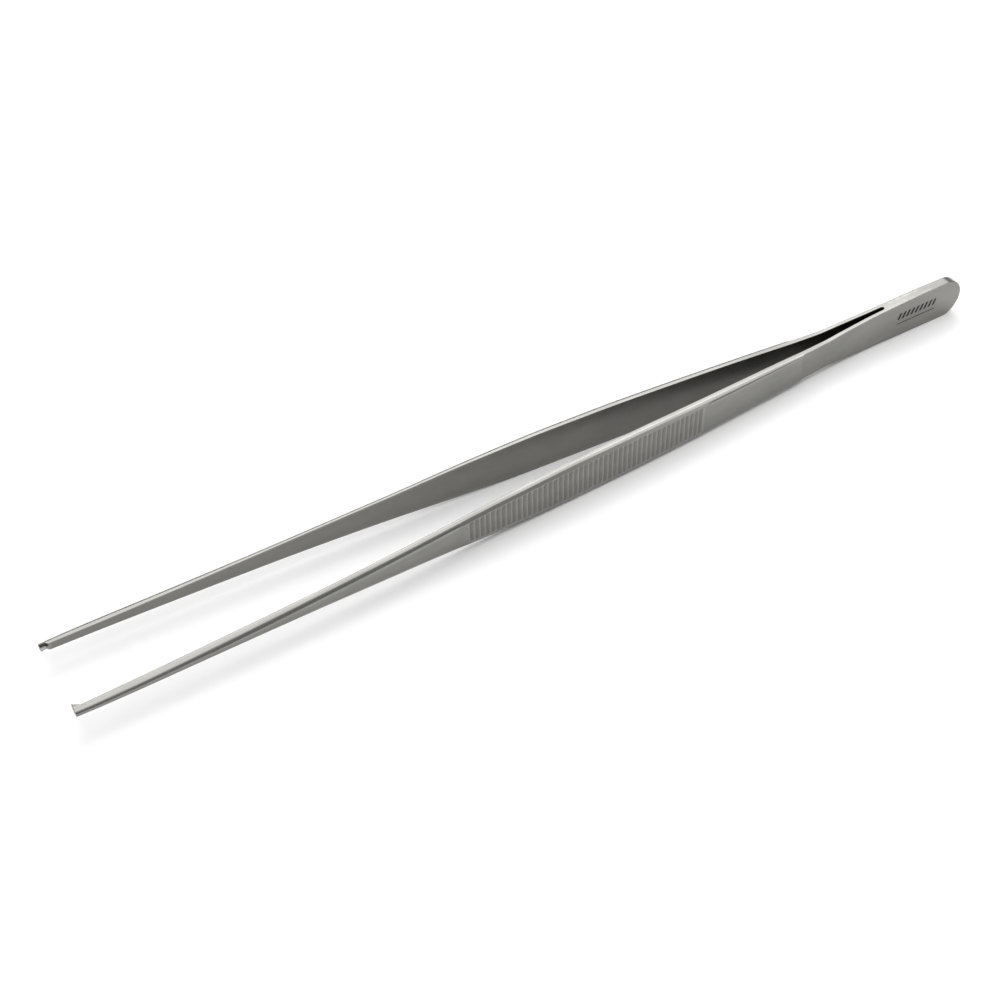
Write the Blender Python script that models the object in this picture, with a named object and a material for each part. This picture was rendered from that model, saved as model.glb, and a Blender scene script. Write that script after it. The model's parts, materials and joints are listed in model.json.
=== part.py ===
"""Long toothed thumb forceps: two mirrored steel arms that grow out of one welded, round heel.

Each half is one strip of steel on the real object. Here it is three solids, the shank, the grip and the heel
half: it bends between the heel half and the grip, and shank and grip are each nearly straight.
Frame: +X runs from the jaws to the heel, the arms open along Y (near arm at -Y, far arm at +Y), and +Z is
the width of the blades. The origin is under the middle of the object, where it lies on its lower edges.
All sizes are in metres. A station is a distance from the jaws' end plane, measured towards the heel.
"""

import math

import bmesh
import bpy
import numpy as np

# Whole object
LENGTH = 0.250
HALF_WIDTH = 0.00545             # widest at the grip and at the heel, where the object rests
PIECE_GAP = 0.0003               # between pieces that touch on the real object
NEAR = -1                        # side of the middle plane, as a sign on Y
FAR = 1

# Stations
GRIP_START = 0.0920              # the shank and the grip meet here
RIDGE_START = 0.0946
RIDGE_END = 0.1622
SHOULDER = 0.1947                # a shallow step down from the grip to the thin spring leaf
SHOULDER_RUN = 0.0006
FLEX = 0.2070                    # the leaf's bend, taken as one hinge
SLOT_END = 0.2236                # the halves part here
HEEL_TAPER_START = 0.2300        # from here the heel's sides are flat and lean in a little
HEEL_FLAT_START = 0.2380         # from here its edges are flat, up to the round end
HEEL_ROUND_START = LENGTH - HALF_WIDTH
STATION_STEP = 0.004
SLOT_HALF = 0.00055              # half the gap between the halves along the heel

# Half the clear gap between the arms, by station
OPENING = [(0.0, 0.0096), (0.030, 0.0090), (0.060, 0.0084), (0.090, 0.00735), (0.125, 0.0058),
           (0.150, 0.0046), (0.170, 0.0035), (0.195, 0.0019), (0.210, 0.00105), (SLOT_END, SLOT_HALF),
           (LENGTH, SLOT_HALF)]
# Half the blade's width, by station
WIDTH = [(0.0, 0.00094), (0.005, 0.00102), (0.015, 0.00115), (0.030, 0.0015), (0.055, 0.00225),
         (0.080, 0.00335), (0.105, 0.0048), (0.127, HALF_WIDTH), (0.139, HALF_WIDTH), (0.160, 0.0051),
         (0.176, 0.00475), (0.188, 0.0044), (0.1955, 0.0041), (0.203, 0.0040), (0.209, 0.00435),
         (0.222, 0.0050), (HEEL_FLAT_START, HALF_WIDTH), (LENGTH, HALF_WIDTH)]
# Height of the side face, from the inner face out to the bevel
SIDE = [(0.0, 0.00115), (0.005, 0.00135), (0.014, 0.00145), (0.030, 0.0013), (0.060, 0.0010),
        (0.090, 0.0009), (0.120, 0.0012), (0.150, 0.00135), (0.175, 0.00135), (SHOULDER, 0.00145),
        (SHOULDER + SHOULDER_RUN, 0.0013), (0.203, 0.00105), (0.212, 0.00092), (SLOT_END, 0.0009),
        (HEEL_TAPER_START, 0.00083), (LENGTH, 0.0006)]
# Bevel between the side face and the outer face, the same along Y and Z
BEVEL = [(0.0, 0.0005), (0.030, 0.0008), (0.110, 0.00088), (0.150, 0.00085), (0.165, 0.00075),
         (SHOULDER, 0.0002), (SHOULDER + SHOULDER_RUN, 0.00015), (LENGTH, 0.00015)]

# Grip ridges
RIDGE_COUNT = 47
RIDGE_DEPTH = 0.00022
RIDGE_MARGIN = 0.0003            # each groove ends this far inside the flat's edge
RIDGE_CLEARANCE = 0.001          # plain steel after the last crest, before the next station
GROOVE_FLOOR = 0.25              # places along one pitch
CREST_START = 0.55
CREST_END = 0.95

# Teeth, cut from a wedge along the end of each jaw
TOOTH_HEIGHT = 0.0013            # of the near jaw's two teeth
MIDDLE_TOOTH_HEIGHT = 0.0004     # of the far jaw's one tooth, which stands between two deep reliefs
TOOTH_LENGTH = 0.0017
RELIEF_DEPTH = 0.0009            # cut below the inner face for the opposite jaw's teeth
RELIEF_LENGTH = 0.0018
TOOTH_POINT_HALF = 0.00012       # half the single tooth's thickness at its point
OUTER_POINT_HALF = 0.00075       # the paired teeth's outer flanks lean in to this at their points
TOOTH_TAPER = 0.12               # growth of that half thickness for each metre down from the point
TOOTH_PLAY = 0.00017             # clearance on each side between closed teeth
FLANK_START = 0.0001             # a tooth's outer flank starts this far above the inner face
CUTTER_MARGIN = 0.0005           # how far a cutter runs past the steel

# Heel
END_HALF = 0.0005                # half the flat left at the round end's very tip
ROUND_STEPS = 8
WELD_MARGIN = 0.0006             # the weld stays this far inside the heel's outline
WELD_HALF_DEPTH = SLOT_HALF - PIECE_GAP

# Looks
SMOOTH_LIMIT = math.radians(15)  # edges sharper than this show as edges
SATIN = (0.56, 0.56, 0.54)
SATIN_ROUGHNESS = 0.34
FUSED = (0.50, 0.50, 0.48)
FUSED_ROUGHNESS = 0.42


def curve(points):
    """Monotone cubic through the given (station, value) points."""
    xs = np.array([p[0] for p in points])
    ys = np.array([p[1] for p in points])
    steps = np.diff(xs)
    slopes = np.diff(ys) / steps
    tangents = np.zeros(len(xs))
    for i in range(1, len(xs) - 1):
        if slopes[i - 1] * slopes[i] > 0:
            before = 2 * steps[i] + steps[i - 1]
            after = steps[i] + 2 * steps[i - 1]
            tangents[i] = (before + after) / (before / slopes[i - 1] + after / slopes[i])
    tangents[0] = slopes[0]
    tangents[-1] = slopes[-1]

    def value(x):
        i = int(np.clip(np.searchsorted(xs, x) - 1, 0, len(steps) - 1))
        t = (x - xs[i]) / steps[i]
        rise = ys[i] * (1 + 2 * t) * (1 - t) ** 2 + ys[i + 1] * t * t * (3 - 2 * t)
        lean = tangents[i] * t * (1 - t) ** 2 - tangents[i + 1] * t * t * (1 - t)
        return rise + lean * steps[i]

    return value


opening = curve(OPENING)
side_height = curve(SIDE)
bevel = curve(BEVEL)
blade_width = curve(WIDTH)


def half_width(station):
    """Half the blade's width, with the heel's round end."""
    if station <= HEEL_ROUND_START:
        return blade_width(station)
    reach = station - HEEL_ROUND_START
    return math.sqrt(max(HALF_WIDTH ** 2 - reach ** 2, END_HALF ** 2))


def inner_depth(station, tooth_height):
    """Depth of the inner face, raised to a wedge along the end of the jaw."""
    rise = tooth_height * max(1 - station / TOOTH_LENGTH, 0.0)
    return opening(station) - rise


def to_world(station, depth, height, side):
    """Coordinates from a station, a depth off the middle plane and a height over the blade's middle."""
    return (station - LENGTH / 2, side * depth, height + HALF_WIDTH)


def blade_section(station, groove, tooth_height):
    """Cross-section of a half as (depth, height) points, from the inner face's lower corner."""
    half = half_width(station)
    edge = opening(station) + side_height(station)
    chamfer = min(bevel(station), half / 2)
    outer = edge + chamfer
    flat = half - chamfer
    ridge = flat - min(RIDGE_MARGIN, flat / 2)
    inner = inner_depth(station, tooth_height)
    return [(inner, -half), (inner, half), (edge, half), (outer, flat), (outer - groove, ridge),
            (outer - groove, -ridge), (outer, -flat), (edge, -half)]


def weld_section(station):
    """Cross-section of the heel weld, as (depth, height) points."""
    half = half_width(station) - WELD_MARGIN
    return [(-WELD_HALF_DEPTH, -half), (-WELD_HALF_DEPTH, half), (WELD_HALF_DEPTH, half),
            (WELD_HALF_DEPTH, -half)]


def loft(name, stations, sections, side, material):
    """Closed solid through (depth, height) outlines, one at each station."""
    mesh = bmesh.new()
    rings = [[mesh.verts.new(to_world(station, depth, height, side)) for depth, height in outline]
             for station, outline in zip(stations, sections)]
    count = len(rings[0])
    for first, second in zip(rings, rings[1:]):
        for i in range(count):
            j = (i + 1) % count
            mesh.faces.new((first[i], first[j], second[j], second[i]))
    mesh.faces.new(rings[0])
    mesh.faces.new(rings[-1])
    bmesh.ops.recalc_face_normals(mesh, faces=mesh.faces)
    data = bpy.data.meshes.new(name)
    mesh.to_mesh(data)
    mesh.free()
    data.shade_smooth()
    data.set_sharp_from_angle(angle=SMOOTH_LIMIT)
    if material:
        data.materials.append(material)
    obj = bpy.data.objects.new(name, data)
    bpy.context.collection.objects.link(obj)
    return obj


def cut(obj, name, outline, side):
    """Take a prism with the given outline out of the end of a jaw."""
    ends = (-CUTTER_MARGIN, RELIEF_LENGTH)
    cutter = loft(name, ends, (outline, outline), side, None)
    cutter.hide_render = True
    cutter.display_type = "WIRE"
    modifier = obj.modifiers.new(name, "BOOLEAN")
    modifier.operation = "DIFFERENCE"
    modifier.solver = "EXACT"
    modifier.object = cutter


def steel(name, colour, roughness):
    """Stainless steel with a satin finish."""
    material = bpy.data.materials.new(name)
    material.use_nodes = True
    surface = material.node_tree.nodes["Principled BSDF"]
    surface.inputs["Base Color"].default_value = (*colour, 1.0)
    surface.inputs["Metallic"].default_value = 1.0
    surface.inputs["Roughness"].default_value = roughness
    return material


def even_stations(start, end):
    """Stations about STATION_STEP apart, both ends included."""
    count = max(round((end - start) / STATION_STEP), 1)
    return [start + (end - start) * i / count for i in range(count + 1)]


def ridge_stations():
    """The floor and the two crest edges of every grip ridge, as (station, groove depth) pairs."""
    pitch = (RIDGE_END - RIDGE_START) / RIDGE_COUNT
    pairs = []
    for i in range(RIDGE_COUNT):
        start = RIDGE_START + i * pitch
        pairs.append((start + GROOVE_FLOOR * pitch, RIDGE_DEPTH))
        pairs.append((start + CREST_START * pitch, 0.0))
        pairs.append((start + CREST_END * pitch, 0.0))
    return pairs


def heel_stations():
    """Stations from the leaf's bend to the round end, closer together around the curve."""
    stations = even_stations(FLEX + PIECE_GAP / 2, HEEL_ROUND_START)
    for i in range(1, ROUND_STEPS):
        stations.append(HEEL_ROUND_START + HALF_WIDTH * math.sin(math.pi / 2 * i / ROUND_STEPS))
    stations.append(LENGTH)
    return stations


def make_shank(name, side, tooth_height, material):
    """An arm's slender front, from the end of its jaw to the grip, with a wedge where its teeth go."""
    stations = [0.0] + even_stations(TOOTH_LENGTH, GRIP_START - PIECE_GAP / 2)
    sections = [blade_section(station, 0.0, tooth_height) for station in stations]
    return loft(name, stations, sections, side, material)


def make_grip(name, side, material):
    """An arm's broad rear, from the shank past the ridges and the shoulder to the leaf's bend."""
    behind = even_stations(RIDGE_END + RIDGE_CLEARANCE, SHOULDER)
    behind += even_stations(SHOULDER + SHOULDER_RUN, FLEX - PIECE_GAP / 2)
    pairs = [(station, 0.0) for station in even_stations(GRIP_START + PIECE_GAP / 2, RIDGE_START)]
    pairs += ridge_stations()
    pairs += [(station, 0.0) for station in behind]
    sections = [blade_section(station, groove, 0.0) for station, groove in pairs]
    return loft(name, [station for station, groove in pairs], sections, side, material)


def cut_two_teeth(obj, side):
    """Leave two teeth, one along each side, with a notch between them."""
    point = opening(0.0) - TOOTH_HEIGHT
    floor = opening(0.0) + RELIEF_DEPTH
    floor_half = TOOTH_POINT_HALF + TOOTH_PLAY
    mouth = point - CUTTER_MARGIN
    mouth_half = floor_half + TOOTH_TAPER * (floor - mouth)
    outline = [(floor, -floor_half), (floor, floor_half), (mouth, mouth_half), (mouth, -mouth_half)]
    cut(obj, "tooth_notch", outline, side)
    base = opening(0.0) - FLANK_START
    base_half = half_width(0.0)
    lean = (base_half - OUTER_POINT_HALF) / (base - point)
    far = base_half + CUTTER_MARGIN
    for end in (-1, 1):
        outline = [(base, end * base_half), (base, end * far), (mouth, end * far),
                   (mouth, end * (base_half - lean * (base - mouth)))]
        cut(obj, "tooth_flank", outline, side)


def cut_one_tooth(obj, side):
    """Leave one tooth in the middle, with a relief on each side of it."""
    point = opening(0.0) - MIDDLE_TOOTH_HEIGHT
    floor = opening(0.0) + RELIEF_DEPTH
    root_half = TOOTH_POINT_HALF + TOOTH_TAPER * (floor - point)
    mouth = point - CUTTER_MARGIN
    mouth_half = TOOTH_POINT_HALF - TOOTH_TAPER * CUTTER_MARGIN
    far = half_width(0.0) + CUTTER_MARGIN
    for end in (-1, 1):
        outline = [(floor, end * root_half), (floor, end * far), (mouth, end * far),
                   (mouth, end * mouth_half)]
        cut(obj, "tooth_relief", outline, side)


def make_heel_half(name, side, material):
    """One half of the heel, from the leaf's bend to the round end."""
    stations = heel_stations()
    sections = [blade_section(station, 0.0, 0.0) for station in stations]
    return loft(name, stations, sections, side, material)


def make_heel_weld(name, material):
    """The fused metal between the halves, inside the heel's outline."""
    stations = [SLOT_END] + [s for s in heel_stations() if SLOT_END < s < LENGTH - WELD_MARGIN]
    return loft(name, stations, [weld_section(station) for station in stations], 1, material)


def build():
    """Make the whole object in an empty scene."""
    for obj in list(bpy.data.objects):
        bpy.data.objects.remove(obj)
    satin = steel("satin_steel", SATIN, SATIN_ROUGHNESS)
    fused = steel("fused_steel", FUSED, FUSED_ROUGHNESS)
    cut_two_teeth(make_shank("near_shank", NEAR, TOOTH_HEIGHT, satin), NEAR)
    cut_one_tooth(make_shank("far_shank", FAR, MIDDLE_TOOTH_HEIGHT, satin), FAR)
    for name, side in (("near", NEAR), ("far", FAR)):
        make_grip(name + "_grip", side, satin)
        make_heel_half(name + "_heel_half", side, satin)
    make_heel_weld("heel_weld", fused)


build()
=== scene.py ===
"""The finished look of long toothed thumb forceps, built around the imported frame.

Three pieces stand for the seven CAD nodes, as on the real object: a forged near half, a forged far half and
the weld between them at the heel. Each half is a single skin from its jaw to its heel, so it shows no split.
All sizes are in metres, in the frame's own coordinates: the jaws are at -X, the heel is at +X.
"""

import json
import math

import bmesh
import bpy
import numpy as np
from mathutils import Matrix, Vector

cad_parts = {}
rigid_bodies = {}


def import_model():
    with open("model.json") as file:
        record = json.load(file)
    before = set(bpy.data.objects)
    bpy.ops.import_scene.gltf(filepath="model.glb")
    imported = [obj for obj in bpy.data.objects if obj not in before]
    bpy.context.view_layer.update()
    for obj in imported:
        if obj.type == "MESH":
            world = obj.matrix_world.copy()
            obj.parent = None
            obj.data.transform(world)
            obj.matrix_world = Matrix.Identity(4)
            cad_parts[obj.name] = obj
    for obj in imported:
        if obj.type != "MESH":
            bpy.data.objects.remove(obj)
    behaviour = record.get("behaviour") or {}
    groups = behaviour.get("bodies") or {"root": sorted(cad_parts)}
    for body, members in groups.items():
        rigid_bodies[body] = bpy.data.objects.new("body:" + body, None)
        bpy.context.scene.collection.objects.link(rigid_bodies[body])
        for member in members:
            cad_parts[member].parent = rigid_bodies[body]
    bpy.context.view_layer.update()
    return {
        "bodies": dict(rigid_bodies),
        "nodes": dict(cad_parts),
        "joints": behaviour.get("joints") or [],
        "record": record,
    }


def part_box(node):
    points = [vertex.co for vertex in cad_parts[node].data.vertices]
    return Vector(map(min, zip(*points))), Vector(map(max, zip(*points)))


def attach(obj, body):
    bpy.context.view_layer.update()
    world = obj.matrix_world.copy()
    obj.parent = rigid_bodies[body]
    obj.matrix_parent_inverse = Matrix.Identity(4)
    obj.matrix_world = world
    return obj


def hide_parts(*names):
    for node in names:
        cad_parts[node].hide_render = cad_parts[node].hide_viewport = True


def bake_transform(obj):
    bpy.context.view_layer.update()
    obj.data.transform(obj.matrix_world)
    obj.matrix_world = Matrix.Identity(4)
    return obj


MM = 0.001
TINY = 0.003 * MM
MERGE = 0.0002 * MM              # vertices closer than this are one
BEVEL_SLACK = 3 * TINY           # a bevel is as high as it is deep, to within this
SHARP_ANGLE = math.radians(36)

NEAR = -1                        # side of the middle plane, as a sign on Y
FAR = 1
RIDGE_SAMPLING = 3 * MM          # the ridged grip's profile is read no closer than this

# Jaws
TOOTH_HEIGHT = 1.3 * MM          # of the near jaw's two teeth
TEETH_CORNERS = 3                # rounded corners of half a cross-section that belong to teeth and reliefs
MIDDLE_TOOTH_HEIGHT = 0.4 * MM   # of the far jaw's one tooth, between its reliefs
TOOTH_LENGTH = 1.7 * MM
TOOTH_POINT_HALF = 0.12 * MM     # half the single tooth's thickness at its point
OUTER_POINT_HALF = 0.75 * MM     # the paired teeth's outer flanks lean in to this
FLANK_TAPER = 0.12               # a flank's lean, as width for each unit of height
LEAST_RUN = 0.05 * MM            # a flank never takes less width than this
TOOTH_PLAY = 0.17 * MM           # clearance on each side between closed teeth
TOOTH_FADE = 0.4 * MM            # a lower tooth than this melts into the plain face
RELIEF_DEPTH = 0.9 * MM
RELIEF_FLOOR = 1.1 * MM          # the relief is full depth up to here, then curves up to its end
RELIEF_END = 2.0 * MM
PLAIN_SHARE = 0.75               # where a plain face keeps a spare line of points, of its half width
JAW_END = 2.6 * MM               # past here the section is plain
END_ROUND = 0.07 * MM            # rounding of the jaw's end

# Grip ridges
RIDGE_DEPTH = 0.20 * MM
GROOVE_SHARE = 0.86              # of a pitch; the rest is crest
GROOVE_PLACES = (-1.0, -0.85, -0.6, -0.3, 0.0, 0.3, 0.6, 0.85, 1.0)   # across, edge to edge
CREST_PLACE = 1 / GROOVE_SHARE   # the crest's middle, on the same measure
FADE_PITCHES = 3                 # the edges' rounding changes over this many pitches past the ridges
RIDGE_MARGIN = 0.25 * MM         # a groove ends this far inside the face's rounded edge
GROOVE_END = 0.55 * MM           # a groove's end is round over this much of its length
GROOVE_END_PLACES = (1.0, 0.85, 0.6, 0.3, 0.0)   # from the groove's tip to its full depth
LEAST_FLAT = 0.5                 # where a groove is shallower than this share, the crest gets polish and a painted highlight
SHALLOW = 0.15                   # a groove shallower than this share is polished
GROOVE_PAINTED_SHADE = 0.5            # painted shade at the bottom of a groove

# Roundings, as the distance that each takes off its two faces
TOOTH_EDGE = 0.035 * MM
INNER_EDGE = 0.09 * MM
CREST_EDGE = 0.04 * MM
LEAF_EDGE = 0.14 * MM
GRIP_EDGE = 0.50 * MM
SHANK_EDGE = 0.70 * MM
ROUND_SHARES = (0.0, 0.25, 0.5, 0.75, 1.0)
ROUND_WEAR = (0.0, 0.2, 0.7, 1.0, 0.7, 0.2, 0.0)   # across a rounding, with the extra line on each side
HOLD = 0.08                      # an extra line this much past each rounding keeps its faces flat
MOST_OF_FACE = 0.46              # a rounding takes no more of a face than this
INNER_PAINTED_SHADE = 0.4             # painted shade on the inner faces between the arms, past the jaw
CROWN = 0.03 * MM                # how far a plain section's edges fall back from its outer face's middle
SHANK_CROWN = 0.35 * MM
SHANK_CROWN_END = 40 * MM        # from here the shank flattens towards the ridges

# Spacing of the cross-sections
JAW_STEP = 0.08 * MM
ARM_STEP = 1.2 * MM
SHOULDER_STEP = 0.1 * MM
SHOULDER_REACH = 0.5 * MM
LEAF_STEP = 0.8 * MM
WELD_STEP = 0.02 * MM
ROUND_RINGS = 28
END_RINGS = 4
WELD_COLUMNS = 11

# Steel
DULL = (0.218, 0.216, 0.204, 1)
BRIGHT = (0.250, 0.248, 0.236, 1)
# Edges polished by use, and polish with a painted highlight on the crests
WEAR_AND_HIGHLIGHT = (0.285, 0.285, 0.272, 1)
# Painted shade for the grooves and the inner faces
PAINTED_SHADE = (0.130, 0.128, 0.120, 1)
ETCHED = (0.030, 0.030, 0.028, 1)
ROUGHNESS = 0.30
ROUGHNESS_SPREAD = 0.03
WORN_SMOOTHING = 0.08
ETCHED_ROUGHENING = 0.25
STREAK_SCALES = (160.0, 3600.0, 3600.0)   # grains for each metre
STREAK_ROUGHNESS = 0.6
STREAK_SHARE = 0.35              # of the variation in colour; the clouds make the rest
CLOUD_SCALES = (90.0, 240.0, 240.0)
GRAIN_DETAIL = 3.0
PORE_SCALES = (7000.0, 7000.0, 7000.0)
PORE_DETAIL = 1.0
PORE_SHARE = 0.4
DULL_TO_BRIGHT = (0.35, 0.65)    # levels of the noise between which the colour changes
ROUGH_TO_SMOOTH = (0.3, 0.7)
RUB_AND_HIGHLIGHT_LEVELS = (0.3, 0.7)              # levels of the clouds between which an edge's polish and a crest's painted highlight are weaker or full
LEAST_RUB_AND_HIGHLIGHT = 0.6
GRAIN_DEPTH = 0.0025 * MM

# Etched mark on the heel, from the frame's origin
MARK_MIDDLE = 109.5 * MM
MARK_HALF_LENGTH = 6.5 * MM
MARK_DEPTH = 1.05 * MM           # only steel further out than this is marked
BAR_HEIGHT = 6.6 * MM
BAR_HALF = 1.0 * MM
RULE_HEIGHT = 4.3 * MM
RULE_HALF = 0.14 * MM
HATCH_PITCH = 1.5 * MM
HATCH_SHARE = 0.55
HATCH_SLANT = -0.4

# Camera, fitted to the photographed view
CAMERA_AZIMUTH = math.radians(-31.1)
CAMERA_ELEVATION = math.radians(43.7)
CAMERA_ROLL = math.radians(-0.93)
CAMERA_DISTANCE = 376.8 * MM
CAMERA_LENS = 58.1
CAMERA_TARGET = Vector((-17.2 * MM, 0.0, 1.67 * MM))
CLIP_START = 10 * MM
CLIP_END = 20.0

# Studio
FLOOR_SIZE = 4.0
PAPER_DIM = (0.89, 0.89, 0.89, 1)
PAPER_PALE = (0.91, 0.91, 0.91, 1)
PAPER_ROUGHNESS = 0.95
FIBRE_SCALES = (90.0, 90.0, 90.0)
FIBRE_DETAIL = 4.0
AMBIENT = (0.38, 0.38, 0.38, 1)
SOFTBOXES = (                    # name, place, width, height, radiance
    ("back_softbox", (0.30, 0.60, 0.66), 0.95, 0.5, 2.8),
    ("top_softbox", (0.2, 0.0, 1.2), 1.6, 1.6, 1.8),
    ("side_softbox", (0.80, -0.50, 0.60), 0.6, 0.6, 1.3),
)


def monotone(xs, ys):
    """A smooth function through (xs, ys) that never swings past its points, and goes on straight."""
    xs = np.asarray(xs, float)
    ys = np.asarray(ys, float)
    steps = np.diff(xs)
    slopes = np.diff(ys) / steps
    before = 2 * steps[1:] + steps[:-1]
    after = steps[1:] + 2 * steps[:-1]
    same_way = slopes[:-1] * slopes[1:] > 0
    first = np.where(same_way, slopes[:-1], 1.0)
    second = np.where(same_way, slopes[1:], 1.0)
    inside = np.where(same_way, (before + after) / (before / first + after / second), 0.0)
    tangents = np.concatenate([slopes[:1], inside, slopes[-1:]])

    def value(x):
        x = np.asarray(x, float)
        held = np.clip(x, xs[0], xs[-1])
        i = np.clip(np.searchsorted(xs, held) - 1, 0, len(steps) - 1)
        t = (held - xs[i]) / steps[i]
        rise = ys[i] * (1 + 2 * t) * (1 - t) ** 2 + ys[i + 1] * t * t * (3 - 2 * t)
        lean = tangents[i] * t * (1 - t) ** 2 - tangents[i + 1] * t * t * (1 - t)
        beyond = np.where(x < xs[0], tangents[0], tangents[-1]) * (x - held)
        return rise + steps[i] * lean + beyond

    return value


def ease(x, start, end):
    """0 before start, 1 after end, smooth in between."""
    t = np.clip((x - start) / (end - start), 0.0, 1.0)
    return t * t * (3 - 2 * t)


def spread(start, end, step):
    """Even places from start up to, but not on, end."""
    count = max(round((end - start) / step), 1)
    return start + (end - start) * np.arange(count) / count


class Blade:
    """The profile of one half along X, read from its CAD nodes, which are named from the jaw to the heel."""

    def __init__(self, frame, nodes, side):
        low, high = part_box(nodes[-1])
        self.side = side
        self.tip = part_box(nodes[0])[0].x
        self.middle = (low.z + high.z) / 2
        self.radius = (high.z - low.z) / 2
        self.round_start = high.x - self.radius
        rings = {}
        for name in nodes:
            for vertex in frame["nodes"][name].data.vertices:
                x, y, z = vertex.co
                ring = rings.setdefault(round(x, 6), set())
                ring.add((round(abs(y), 7), round(abs(z - self.middle), 6)))
        start = self.tip + TOOTH_LENGTH - TINY
        end = self.round_start + TINY
        rings = {x: np.array(sorted(ring)) for x, ring in rings.items() if start < x < end}
        floors = sorted(x for x, ring in rings.items() if x > self.tip + JAW_END and self.has_groove(ring))
        self.first_floor = floors[0]
        self.last_floor = floors[-1]
        self.pitch = np.diff(floors).min()
        rows = []
        for x in sorted(rings):
            row = self.read(x, rings[x])
            if row is None:
                continue
            in_ridges = self.first_floor < x < self.last_floor
            if rows and x - rows[-1][0] < (RIDGE_SAMPLING if in_ridges else TINY):
                continue
            rows.append(row)
        xs, inner, edge, outer, half = np.array(rows).T
        self.inner = monotone(xs, inner)
        self.edge = monotone(xs, edge)
        self.outer = monotone(xs, outer)
        self.width = monotone(xs, half)
        self.slot_half = inner[-1]
        self.slot_end = min(x for x, depth in zip(xs, inner) if depth < self.slot_half + TINY)
        step = np.argmin(np.diff(outer) / np.diff(xs))
        self.shoulder = xs[step]
        self.leaf_start = xs[step + 1]

    def has_groove(self, points):
        """Whether a cross-section dips inside the outer face's flat."""
        depth, height = points.T
        flat = height[depth > depth.max() - TINY].max()
        return bool(np.any((height < flat - TINY) & (depth < depth.max() - TINY)))

    def read(self, x, points):
        """Inner depth, side face's end, outer depth and half width of a cross-section, if it is whole."""
        depth, height = points.T
        half = height.max()
        side = depth[height > half - TINY]
        chamfer = depth.max() - side.max()
        flat = height[depth > depth.max() - TINY].max()
        whole = side.max() - depth.min() > TINY and chamfer > TINY
        if not whole or abs(half - flat - chamfer) > BEVEL_SLACK:
            return None
        return x, depth.min(), side.max(), depth.max(), half


def weld_start(blade):
    """Where the slot's round end begins."""
    return blade.slot_end - blade.slot_half


def stations(blade):
    """Where the cross-sections go along X, closest where the shape changes fastest."""
    turns = np.linspace(0, math.pi / 2, END_RINGS, endpoint=False)
    places = np.array([*GROOVE_PLACES, CREST_PLACE]) * GROOVE_SHARE / 2
    floors = np.arange(blade.first_floor, blade.last_floor + blade.pitch / 2, blade.pitch)
    ridges = (floors[:, None] + places * blade.pitch).ravel()
    shoulder_from = blade.shoulder - SHOULDER_REACH
    shoulder_to = blade.leaf_start + SHOULDER_REACH
    weld_from = weld_start(blade)
    return np.concatenate([
        blade.tip + END_ROUND * (1 - np.cos(turns)),
        spread(blade.tip + END_ROUND, blade.tip + JAW_END, JAW_STEP),
        spread(blade.tip + JAW_END, ridges[0] - blade.pitch / 2, ARM_STEP),
        ridges,
        spread(ridges[-1] + blade.pitch / 2, shoulder_from, ARM_STEP),
        spread(shoulder_from, shoulder_to, SHOULDER_STEP),
        spread(shoulder_to, weld_from, LEAF_STEP),
        [weld_from, weld_from + WELD_STEP, weld_from + 2 * WELD_STEP],
        spread(blade.slot_end, blade.round_start, ARM_STEP),
        [blade.round_start],
    ])


def groove_place(blade, x):
    """How far across the nearest groove, from -1 to 1 and past that on a crest, and whether in the ridges."""
    place = (x - blade.first_floor) / blade.pitch
    last = round((blade.last_floor - blade.first_floor) / blade.pitch)
    nearest = np.clip(np.round(place), 0, last)
    across = (place - nearest) * 2 / GROOVE_SHARE
    return across, (place > -0.5 - TINY) & (place < last + 0.5 + TINY)


def outer_face(blade, x, outer, edge_height):
    """The outer face from its rounded edge to its middle, with the grooves cut in, a painted highlight on the
    crests and painted shade in the grooves.
    """
    across, in_ridges = groove_place(blade, x)
    top = np.maximum(edge_height - RIDGE_MARGIN, edge_height * LEAST_FLAT)
    reach = np.minimum(GROOVE_END, top * LEAST_FLAT)
    ends = np.array(GROOVE_END_PLACES)
    heights = top[:, None] - reach[:, None] * (1 - ends)
    heights = np.concatenate([heights, heights[:, -1:] / 2, heights[:, -1:] * 0], axis=1)
    ends = np.append(ends, (0.0, 0.0))
    cut = np.maximum(1 - across[:, None] ** 2 - ends ** 2, 0.0) * in_ridges[:, None]
    # Crests get polish and a painted highlight; groove bottoms get painted shade
    wear_and_painted_light = np.where(cut < SHALLOW, 1 - cut / SHALLOW, (SHALLOW - cut) / (1 - SHALLOW) * GROOVE_PAINTED_SHADE)
    return np.stack([outer[:, None] - RIDGE_DEPTH * cut, heights], axis=2), wear_and_painted_light * in_ridges[:, None]


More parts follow.
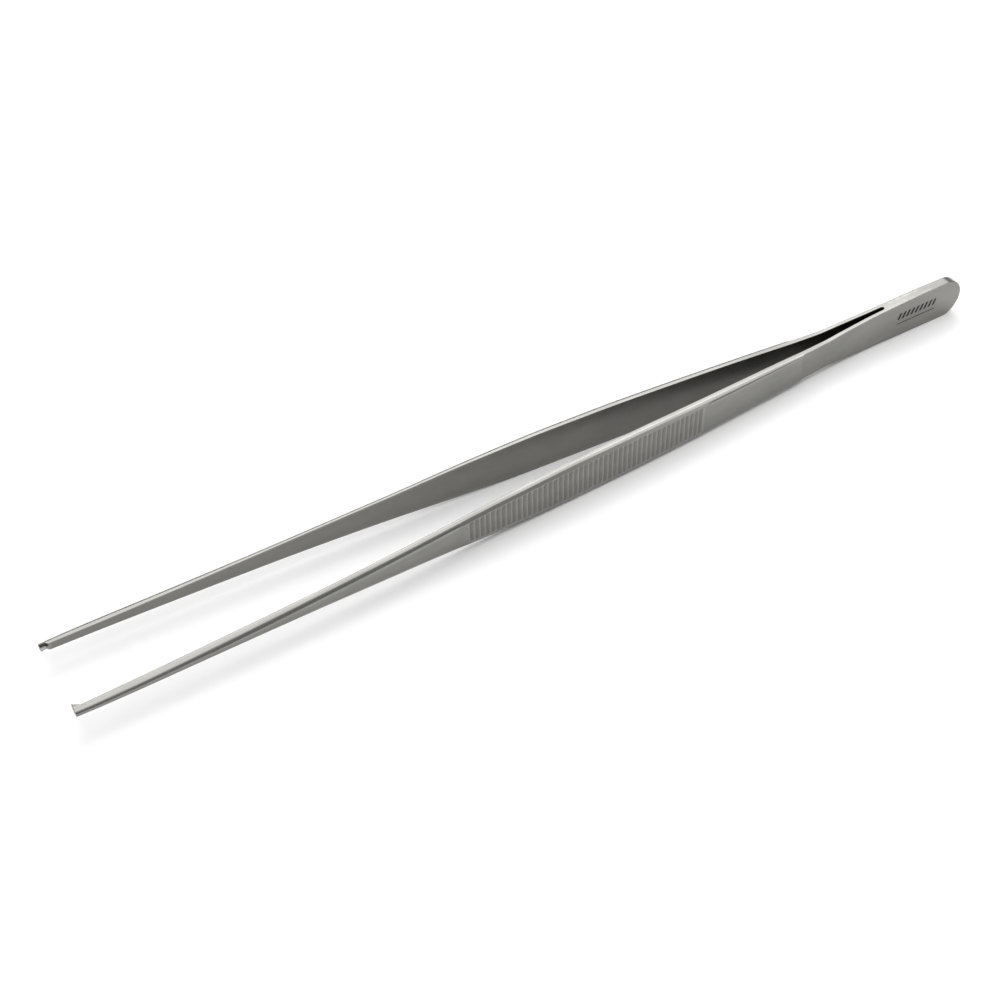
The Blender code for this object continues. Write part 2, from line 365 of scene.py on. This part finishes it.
def inner_corners(blade, x):
    """Corners of the inner face from its middle out, as (rise towards the middle plane, height) pairs."""
    s = x - blade.tip
    half = blade.width(x)
    wedge = np.maximum(1 - s / TOOTH_LENGTH, 0.0)
    relief = RELIEF_DEPTH * (1 - ease(s, RELIEF_FLOOR, RELIEF_END))
    zero = np.zeros_like(x)
    plain = half * PLAIN_SHARE
    if blade.side == NEAR:
        rise = TOOTH_HEIGHT * wedge
        floor = TOOTH_POINT_HALF + TOOTH_PLAY + zero
        top_inside = floor + np.maximum(FLANK_TAPER * (rise + relief), LEAST_RUN)
        lean = (blade.width(blade.tip) - OUTER_POINT_HALF) / TOOTH_HEIGHT
        share = ease(rise, 0.0, TOOTH_FADE)
        top_outside = (half - lean * rise) * share + plain * (1 - share)
        rises = (-relief, -relief, rise, rise, zero)
        heights = (zero, floor, top_inside, top_outside, half)
    else:
        rise = MIDDLE_TOOTH_HEIGHT * wedge
        root = TOOTH_POINT_HALF + FLANK_TAPER * (MIDDLE_TOOTH_HEIGHT + relief)
        top = TOOTH_POINT_HALF + FLANK_TAPER * (MIDDLE_TOOTH_HEIGHT - rise)
        rises = (rise, rise, -relief, -relief, -relief)
        heights = (zero, np.minimum(top, root - LEAST_RUN), root, plain, half)
    return np.stack(rises, axis=1), np.stack(heights, axis=1)


def round_corners(corners, sizes):
    """Outlines, one row for each station, with every corner rounded but the first and the last."""
    points = [corners[:, 0]]
    for k in range(1, corners.shape[1] - 1):
        corner = corners[:, k]
        arms = []
        for other in (corners[:, k - 1], corners[:, k + 1]):
            length = np.maximum(np.linalg.norm(other - corner, axis=1), MERGE)
            reach = np.minimum(sizes[:, k - 1], length * MOST_OF_FACE)
            arms.append((other - corner) * (reach / length)[:, None])
        points.append(corner + arms[0] * (1 + HOLD))
        points += [corner + arms[0] * (1 - share) ** 2 + arms[1] * share ** 2 for share in ROUND_SHARES]
        points.append(corner + arms[1] * (1 + HOLD))
    return np.stack(points, axis=1)


def half_outlines(blade, x):
    """Each station's outline, as depth and height from the inner face's middle to the outer's, and its wear
    and painted light.

    The value is 1 along edges polished by use and on the crests, where polish has a painted highlight, and
    below 0 where shade is painted, in the grooves and on the inner faces.
    """
    rises, heights = inner_corners(blade, x)
    inner = blade.inner(x)
    edge = blade.edge(x)
    outer = blade.outer(x)
    half = blade.width(x)
    zero = np.zeros_like(x)
    depths = [inner - rise for rise in rises.T] + [edge, outer, outer]
    levels = list(heights.T) + [half, half - (outer - edge), zero]
    corners = np.stack([np.stack(depths, axis=1), np.stack(levels, axis=1)], axis=2)

    fade = FADE_PITCHES * blade.pitch
    in_grip = ease(x, blade.first_floor - fade, blade.first_floor - blade.pitch)
    past_ridges = ease(x, blade.last_floor + blade.pitch / 2, blade.last_floor + fade)
    in_ridges = in_grip * (1 - past_ridges)
    in_leaf = ease(x, blade.shoulder, blade.leaf_start)
    welded = ease(x, weld_start(blade), weld_start(blade) + WELD_STEP)
    tooth = TOOTH_EDGE + zero
    inner_edge = INNER_EDGE * (1 - welded)
    side_edge = SHANK_EDGE + (GRIP_EDGE - SHANK_EDGE) * in_grip + (LEAF_EDGE - GRIP_EDGE) * in_leaf
    outer_edge = side_edge + (CREST_EDGE - GRIP_EDGE) * in_ridges
    sizes = np.stack([tooth, tooth, tooth, inner_edge, side_edge, outer_edge], axis=1)
    around = round_corners(corners, sizes)
    face, face_polish_and_painted_light = outer_face(blade, x, outer, around[:, -1, 1])
    outline = np.concatenate([around, face], axis=1)

    in_shank = 1 - ease(x, blade.tip + SHANK_CROWN_END, blade.first_floor)
    crown = (CROWN + (SHANK_CROWN - CROWN) * in_shank) * (1 - in_ridges) * (1 - in_leaf)
    reach = (outline[:, :, 0] - inner[:, None]) / (outer - inner)[:, None]
    outline[:, :, 0] -= np.clip(reach, 0, 1) * crown[:, None] * (outline[:, :, 1] / half[:, None]) ** 2

    in_jaw = 1 - ease(x - blade.tip, RELIEF_END, JAW_END)[:, None]
    rounded = np.array(ROUND_WEAR)[None, :]
    # Teeth edges are polished in the jaw; past it the inner faces get painted shade
    teeth_wear_and_inner_shade = np.tile(rounded, TEETH_CORNERS) * in_jaw - INNER_PAINTED_SHADE * (1 - in_jaw)
    edges_wear = np.tile(rounded, sizes.shape[1] - TEETH_CORNERS) * np.ones_like(in_jaw)
    wear_and_painted_light = np.concatenate([teeth_wear_and_inner_shade[:, :1], teeth_wear_and_inner_shade, edges_wear, face_polish_and_painted_light], axis=1)
    return outline, wear_and_painted_light


def round_end(blade, outline):
    """The last outline swept around the heel's centre, as X, depth and height."""
    turn = np.linspace(0, math.pi / 2, ROUND_RINGS)[1:, None]
    depth, height = outline[:, 0], outline[:, 1]
    x = blade.round_start + height * np.sin(turn)
    inner = blade.inner(blade.round_start)
    share = (depth - inner) / (blade.outer(blade.round_start) - inner)
    depth = depth + share * (blade.outer(x) - blade.outer(blade.round_start))
    return np.stack([x, depth, height * np.cos(turn)], axis=2)


def round_jaw_end(blade, x, outline):
    """Draw the outlines in by a little towards the very end of the jaw."""
    left = np.clip(1 - (x - blade.tip) / END_ROUND, 0.0, 1.0)
    inset = END_ROUND * (1 - np.sqrt(1 - left ** 2)) / blade.width(blade.tip)
    centre = np.stack([(blade.inner(x) + blade.outer(x)) / 2, np.zeros_like(x)], axis=1)
    return outline + (centre[:, None] - outline) * inset[:, None, None]


def make_mesh(name, points, faces, wear_and_painted_light, material):
    """A smooth-shaded piece with sharp edges kept, and its wear and painted light as an attribute for the
    material.
    """
    data = bpy.data.meshes.new(name)
    data.from_pydata(points, [], faces)
    data.attributes.new("wear_and_painted_light", "FLOAT", "POINT").data.foreach_set("value", wear_and_painted_light.astype(np.float32))
    mesh = bmesh.new()
    mesh.from_mesh(data)
    bmesh.ops.remove_doubles(mesh, verts=mesh.verts, dist=MERGE)
    bmesh.ops.dissolve_degenerate(mesh, edges=mesh.edges, dist=MERGE)
    caps = [face for face in mesh.faces if len(face.verts) > 4]
    bmesh.ops.triangulate(mesh, faces=caps, ngon_method="EAR_CLIP")
    bmesh.ops.recalc_face_normals(mesh, faces=mesh.faces)
    mesh.to_mesh(data)
    mesh.free()
    data.shade_smooth()
    data.set_sharp_from_angle(angle=SHARP_ANGLE)
    data.materials.append(material)
    obj = bpy.data.objects.new(name, data)
    bpy.context.scene.collection.objects.link(obj)
    return obj


def ring_faces(rings, count):
    """Quads between neighbouring closed rings of points."""
    first = np.arange(rings - 1)[:, None] * count
    here = np.arange(count)[None, :]
    after = (here + 1) % count
    quads = np.stack([first + here, first + after, first + count + after, first + count + here], axis=2)
    return quads.reshape(-1, 4).tolist()


def make_half(name, blade, material):
    """One forged half, from the jaw's teeth to the round heel, as a single skin."""
    x = stations(blade)
    outline, wear_and_painted_light = half_outlines(blade, x)
    outline = round_jaw_end(blade, x, outline)
    straight = np.concatenate([np.repeat(x[:, None, None], outline.shape[1], axis=1), outline], axis=2)
    upper = np.concatenate([straight, round_end(blade, outline[-1])])
    lower = upper[:, -2:0:-1] * (1, 1, -1)
    rings = np.concatenate([upper, lower], axis=1)
    wear_and_painted_light = np.concatenate([wear_and_painted_light, np.repeat(wear_and_painted_light[-1:], len(upper) - len(wear_and_painted_light), axis=0)])
    wear_and_painted_light = np.concatenate([wear_and_painted_light, wear_and_painted_light[:, -2:0:-1]], axis=1)
    count = rings.shape[1]
    points = rings.reshape(-1, 3) * (1, blade.side, 1) + (0, 0, blade.middle)
    faces = ring_faces(len(rings), count)
    faces.append(list(range(count)))
    return make_mesh(name, points.tolist(), faces, wear_and_painted_light.ravel(), material)


def make_weld(name, blade, material):
    """The fused metal between the halves, flush with them, with the slot's round end at its front."""
    turn = np.linspace(-math.pi / 2, math.pi / 2, WELD_COLUMNS)
    along = [*spread(blade.slot_end, blade.round_start, ARM_STEP)[1:], blade.round_start]
    arc = np.linspace(0, math.pi, 2 * ROUND_RINGS - 1)[1:-1]
    rings = []
    for across, recess in zip(blade.slot_half * np.sin(turn), blade.slot_half * (1 - np.cos(turn))):
        x = np.array([blade.slot_end - recess, *along])
        half = blade.width(x)
        outline_x = np.concatenate([x, blade.round_start + blade.radius * np.sin(arc), x[::-1]])
        outline_z = np.concatenate([half, blade.radius * np.cos(arc), -half[::-1]])
        rings.append(np.stack([outline_x, np.full_like(outline_x, across), outline_z + blade.middle], axis=1))
    count = len(rings[0])
    faces = ring_faces(len(rings), count)
    faces.append(list(range(count)))
    faces.append(list(range(count * (len(rings) - 1), count * len(rings))))
    points = np.concatenate(rings)
    return make_mesh(name, points.tolist(), faces, np.zeros(len(points)), material)


class Shader:
    """A material's node tree, with short ways to add and link its nodes."""

    def __init__(self, name):
        self.material = bpy.data.materials.new(name)
        self.material.use_nodes = True
        self.tree = self.material.node_tree
        self.surface = self.tree.nodes["Principled BSDF"]

    def link(self, source, target):
        """Link an output into a socket, or set the socket to a plain value."""
        if isinstance(source, bpy.types.NodeSocket):
            self.tree.links.new(source, target)
        else:
            target.default_value = source

    def math(self, operation, *values, clamp=False):
        """The result of one operation on sockets or plain values."""
        node = self.tree.nodes.new("ShaderNodeMath")
        node.operation = operation
        node.use_clamp = clamp
        for value, socket in zip(values, node.inputs):
            self.link(value, socket)
        return node.outputs["Value"]

    def noise(self, position, scales, detail=2.0, roughness=0.5):
        """Noise whose grains are 1 / scales long, along each axis."""
        stretch = self.tree.nodes.new("ShaderNodeVectorMath")
        stretch.operation = "MULTIPLY"
        self.link(position, stretch.inputs[0])
        stretch.inputs[1].default_value = scales
        node = self.tree.nodes.new("ShaderNodeTexNoise")
        node.inputs["Scale"].default_value = 1.0
        node.inputs["Detail"].default_value = detail
        node.inputs["Roughness"].default_value = roughness
        self.link(stretch.outputs["Vector"], node.inputs["Vector"])
        return node.outputs["Fac"]

    def remap(self, value, low, high, to_low, to_high):
        """The value taken from one range to another and held inside it."""
        node = self.tree.nodes.new("ShaderNodeMapRange")
        for given, socket in zip((value, low, high, to_low, to_high), node.inputs):
            self.link(given, socket)
        return node.outputs["Result"]

    def blend(self, share, first, second):
        """A colour between two others."""
        node = self.tree.nodes.new("ShaderNodeMix")
        node.data_type = "RGBA"
        self.link(share, node.inputs["Factor"])
        for colour, socket in zip((first, second), (s for s in node.inputs if s.type == "RGBA")):
            self.link(colour, socket)
        return next(socket for socket in node.outputs if socket.type == "RGBA")

    def object_position(self):
        """Position in the frame's own coordinates."""
        return self.tree.nodes.new("ShaderNodeTexCoord").outputs["Object"]

    def attribute(self, name):
        """A number stored on the mesh's points."""
        node = self.tree.nodes.new("ShaderNodeAttribute")
        node.attribute_name = name
        return node.outputs["Fac"]

    def bump(self, height, distance):
        """Relief on the surface, too fine to be geometry."""
        node = self.tree.nodes.new("ShaderNodeBump")
        node.inputs["Strength"].default_value = 1.0
        node.inputs["Distance"].default_value = distance
        self.link(height, node.inputs["Height"])
        self.link(node.outputs["Normal"], self.surface.inputs["Normal"])


def etched_mark(shader, position):
    """1 on a plain hatched bar and the rule under it, etched in the near half's heel."""
    split = shader.tree.nodes.new("ShaderNodeSeparateXYZ")
    shader.link(position, split.inputs[0])
    x, y, z = split.outputs
    outside = shader.math("LESS_THAN", y, -MARK_DEPTH)
    along = shader.math("COMPARE", x, MARK_MIDDLE, MARK_HALF_LENGTH)
    in_bar = shader.math("COMPARE", z, BAR_HEIGHT, BAR_HALF)
    slant = shader.math("MULTIPLY_ADD", z, HATCH_SLANT, x)
    turns = shader.math("FRACT", shader.math("DIVIDE", slant, HATCH_PITCH))
    hatch = shader.math("LESS_THAN", turns, HATCH_SHARE)
    in_rule = shader.math("COMPARE", z, RULE_HEIGHT, RULE_HALF)
    lines = shader.math("MAXIMUM", shader.math("MULTIPLY", in_bar, hatch), in_rule)
    return shader.math("MULTIPLY", shader.math("MULTIPLY", lines, along), outside)


def steel(name, marked):
    """Satin stainless steel: fine grain along the blade, faint clouds, polished edges, polish and a painted
    highlight on the crests, and painted shade in the grooves and on the inner faces.
    """
    shader = Shader(name)
    position = shader.object_position()
    streaks = shader.noise(position, STREAK_SCALES, detail=GRAIN_DETAIL, roughness=STREAK_ROUGHNESS)
    clouds = shader.noise(position, CLOUD_SCALES, detail=GRAIN_DETAIL)
    pores = shader.noise(position, PORE_SCALES, detail=PORE_DETAIL)
    wear_and_painted_light = shader.attribute("wear_and_painted_light")
    mixed = shader.math("ADD", shader.math("MULTIPLY", streaks, STREAK_SHARE),
                        shader.math("MULTIPLY", clouds, 1 - STREAK_SHARE))
    colour = shader.blend(shader.remap(mixed, *DULL_TO_BRIGHT, 0.0, 1.0), DULL, BRIGHT)
    # Painted shade: below 0, groove bottoms and inner faces are darkened towards the painted shade colour
    colour = shader.blend(shader.math("MULTIPLY", wear_and_painted_light, -1.0, clamp=True), colour, PAINTED_SHADE)
    # Polish along the edges from use, and polish with a painted highlight on the crests
    polish_and_highlight = shader.remap(clouds, *RUB_AND_HIGHLIGHT_LEVELS, LEAST_RUB_AND_HIGHLIGHT, 1.0)
    rub_and_highlight = shader.math("MULTIPLY", shader.math("MAXIMUM", wear_and_painted_light, 0.0), polish_and_highlight)
    colour = shader.blend(rub_and_highlight, colour, WEAR_AND_HIGHLIGHT)
    rough = shader.remap(mixed, *ROUGH_TO_SMOOTH, ROUGHNESS + ROUGHNESS_SPREAD, ROUGHNESS - ROUGHNESS_SPREAD)
    rough = shader.math("SUBTRACT", rough, shader.math("MULTIPLY", rub_and_highlight, WORN_SMOOTHING))
    height = shader.math("ADD", streaks, shader.math("MULTIPLY", pores, PORE_SHARE))
    if marked:
        mark = etched_mark(shader, position)
        colour = shader.blend(mark, colour, ETCHED)
        rough = shader.math("MULTIPLY_ADD", mark, ETCHED_ROUGHENING, rough)
        height = shader.math("SUBTRACT", height, mark)
    shader.link(colour, shader.surface.inputs["Base Color"])
    shader.link(rough, shader.surface.inputs["Roughness"])
    shader.surface.inputs["Metallic"].default_value = 1.0
    shader.bump(height, GRAIN_DEPTH)
    return shader.material


def backdrop(name):
    """Smooth white studio paper."""
    shader = Shader(name)
    position = shader.object_position()
    fibres = shader.noise(position, FIBRE_SCALES, detail=FIBRE_DETAIL)
    shader.link(shader.blend(fibres, PAPER_DIM, PAPER_PALE), shader.surface.inputs["Base Color"])
    shader.surface.inputs["Roughness"].default_value = PAPER_ROUGHNESS
    shader.surface.inputs["Specular IOR Level"].default_value = 0.0
    return shader.material


def make_camera():
    """A camera turned about its target by the azimuth and elevation, then rolled about its own axis."""
    azimuth, elevation = CAMERA_AZIMUTH, CAMERA_ELEVATION
    back = Vector((math.sin(azimuth) * math.cos(elevation), -math.cos(azimuth) * math.cos(elevation),
                   math.sin(elevation)))
    right = Vector((math.cos(azimuth), math.sin(azimuth), 0.0))
    up = back.cross(right)
    cos, sin = math.cos(CAMERA_ROLL), math.sin(CAMERA_ROLL)
    rolled_right = right * cos + up * sin
    rolled_up = up * cos - right * sin
    data = bpy.data.cameras.new("camera")
    data.lens = CAMERA_LENS
    data.clip_start = CLIP_START
    data.clip_end = CLIP_END
    camera = bpy.data.objects.new("camera", data)
    camera.matrix_world = (Matrix.Translation(CAMERA_TARGET + back * CAMERA_DISTANCE)
                           @ Matrix((rolled_right, rolled_up, back)).transposed().to_4x4())
    bpy.context.scene.collection.objects.link(camera)
    bpy.context.scene.camera = camera


def make_floor():
    """The sheet of paper that the object lies on, which isn't part of it."""
    bpy.ops.mesh.primitive_plane_add(size=FLOOR_SIZE)
    floor = bpy.context.object
    floor.name = "floor"
    floor.data.materials.append(backdrop("paper"))


def softbox(name, place, width, height, radiance):
    """A soft rectangular light that faces the origin."""
    data = bpy.data.lights.new(name, "AREA")
    data.shape = "RECTANGLE"
    data.size = width
    data.size_y = height
    data.energy = radiance * math.pi * width * height
    light = bpy.data.objects.new(name, data)
    light.location = place
    light.rotation_euler = Vector(place).to_track_quat("Z", "Y").to_euler()
    bpy.context.scene.collection.objects.link(light)


def make_world():
    """Even, dim light from all around."""
    world = bpy.data.worlds.new("studio")
    world.use_nodes = True
    world.node_tree.nodes["Background"].inputs["Color"].default_value = AMBIENT
    bpy.context.scene.world = world


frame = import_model()
satin = steel("satin_steel", marked=True)
fused = steel("fused_steel", marked=False)
blades = {}
for name, side in (("near", NEAR), ("far", FAR)):
    nodes = (name + "_shank", name + "_grip", name + "_heel_half")
    blade = Blade(frame, nodes, side)
    half = make_half(name + "_half", blade, satin)
    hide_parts(*nodes)
    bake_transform(half)
    blades[name] = blade

weld = make_weld("weld", blades["near"], fused)
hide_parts("heel_weld")
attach(weld, "heel")

make_floor()
make_camera()
for box in SOFTBOXES:
    softbox(*box)
make_world()
bpy.context.scene.view_settings.view_transform = "Standard"
